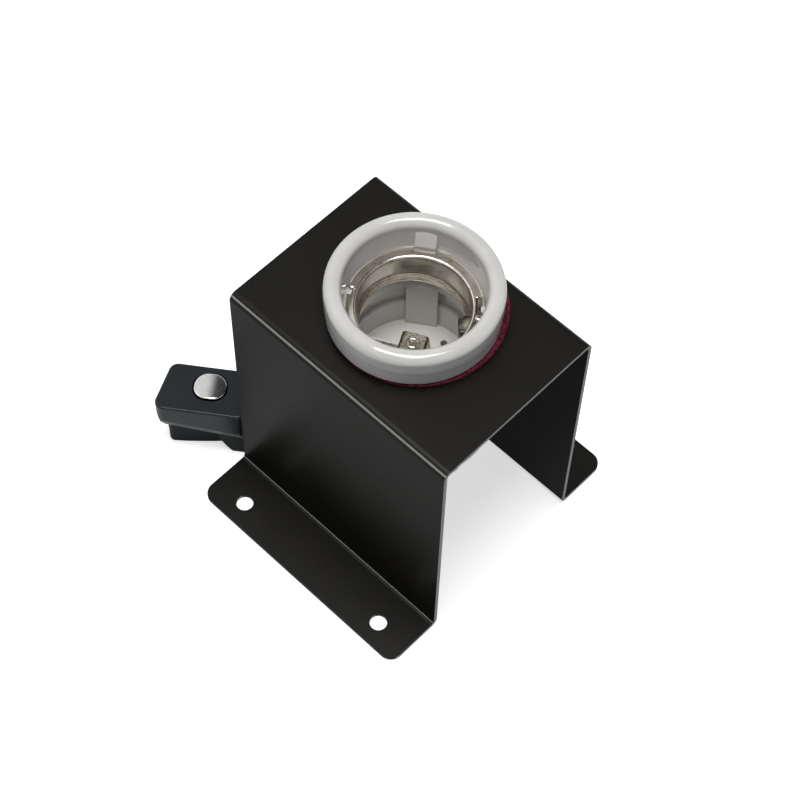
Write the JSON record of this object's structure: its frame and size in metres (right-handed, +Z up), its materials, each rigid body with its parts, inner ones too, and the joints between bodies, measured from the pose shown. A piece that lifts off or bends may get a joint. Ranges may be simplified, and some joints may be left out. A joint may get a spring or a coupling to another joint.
{
  "type": "lamp holder",
  "caption": "Porcelain screw lamp holder for a large screw cap, clamped in the top of a folded steel bracket with flanges, with a short lead and a latching plug-in connector.",
  "frame": {"origin": "on the floor, at the bottom centre of the bracket", "axes": "+Z up, out of the socket's mouth; +X across the two legs; +Y along the legs, towards the end where the lead leaves"},
  "size_m": [0.117, 0.136, 0.129],
  "materials": {
    "powder_black": "fine textured matt powder coat",
    "gasket_red": "braided",
    "porcelain": "glossy glaze",
    "nickel": "nickel plate, slightly dull",
    "spring_steel": "drawn",
    "contact_bronze": "tarnished",
    "brass": "satin",
    "zinc_steel": "zinc plate",
    "gland_plastic": "satin",
    "lead_rubber": "matt",
    "core_brown": "smooth",
    "core_blue": "smooth",
    "connector_plastic": "fine matt",
    "button_bright": "satin"
  },
  "bodies": {
    "holder": {"bracket": "powder_black", "gasket": "gasket_red", "porcelain_collar": "porcelain", "porcelain_base": "porcelain", "porcelain_cover": "porcelain", "screw_shell": "nickel", "shell_rivets": "nickel", "grip_spring": "spring_steel", "centre_contact": "contact_bronze", "backing_spring": "spring_steel", "shell_strap": "brass", "line_terminal": "brass", "neutral_terminal": "brass", "terminal_screws": "zinc_steel", "terminal_washers": "zinc_steel", "clamp_screws": "zinc_steel", "clamp_washers": "zinc_steel", "clamp_inserts": "brass", "gland_body": "gland_plastic", "gland_cap": "gland_plastic", "gland_locknut": "gland_plastic", "line_core": "core_brown", "neutral_core": "core_blue", "supply_lead": "lead_rubber", "cable_boot": "lead_rubber", "connector_top": "connector_plastic", "connector_bottom": "connector_plastic", "latch_spring": "spring_steel", "contact_sleeves": "brass", "connector_screws": "zinc_steel"},
    "latch": {"latch_button": "button_bright"},
    "contact": {"contact_eyelet": "contact_bronze"}
  },
  "joints": [
    {"name": "latch_press", "type": "slide", "parent": "holder", "child": "latch", "axis": [0, 0, -1], "range_m": [0, 0.002], "stiffness_N_per_m": 300, "springref_m": -0.002, "deforming": ["latch_spring"]},
    {"name": "contact_press", "type": "slide", "parent": "holder", "child": "contact", "axis": [0, 0, -1], "range_m": [0, 0.0015], "stiffness_N_per_m": 2000, "springref_m": -0.001, "deforming": ["centre_contact", "backing_spring"]}
  ]
}
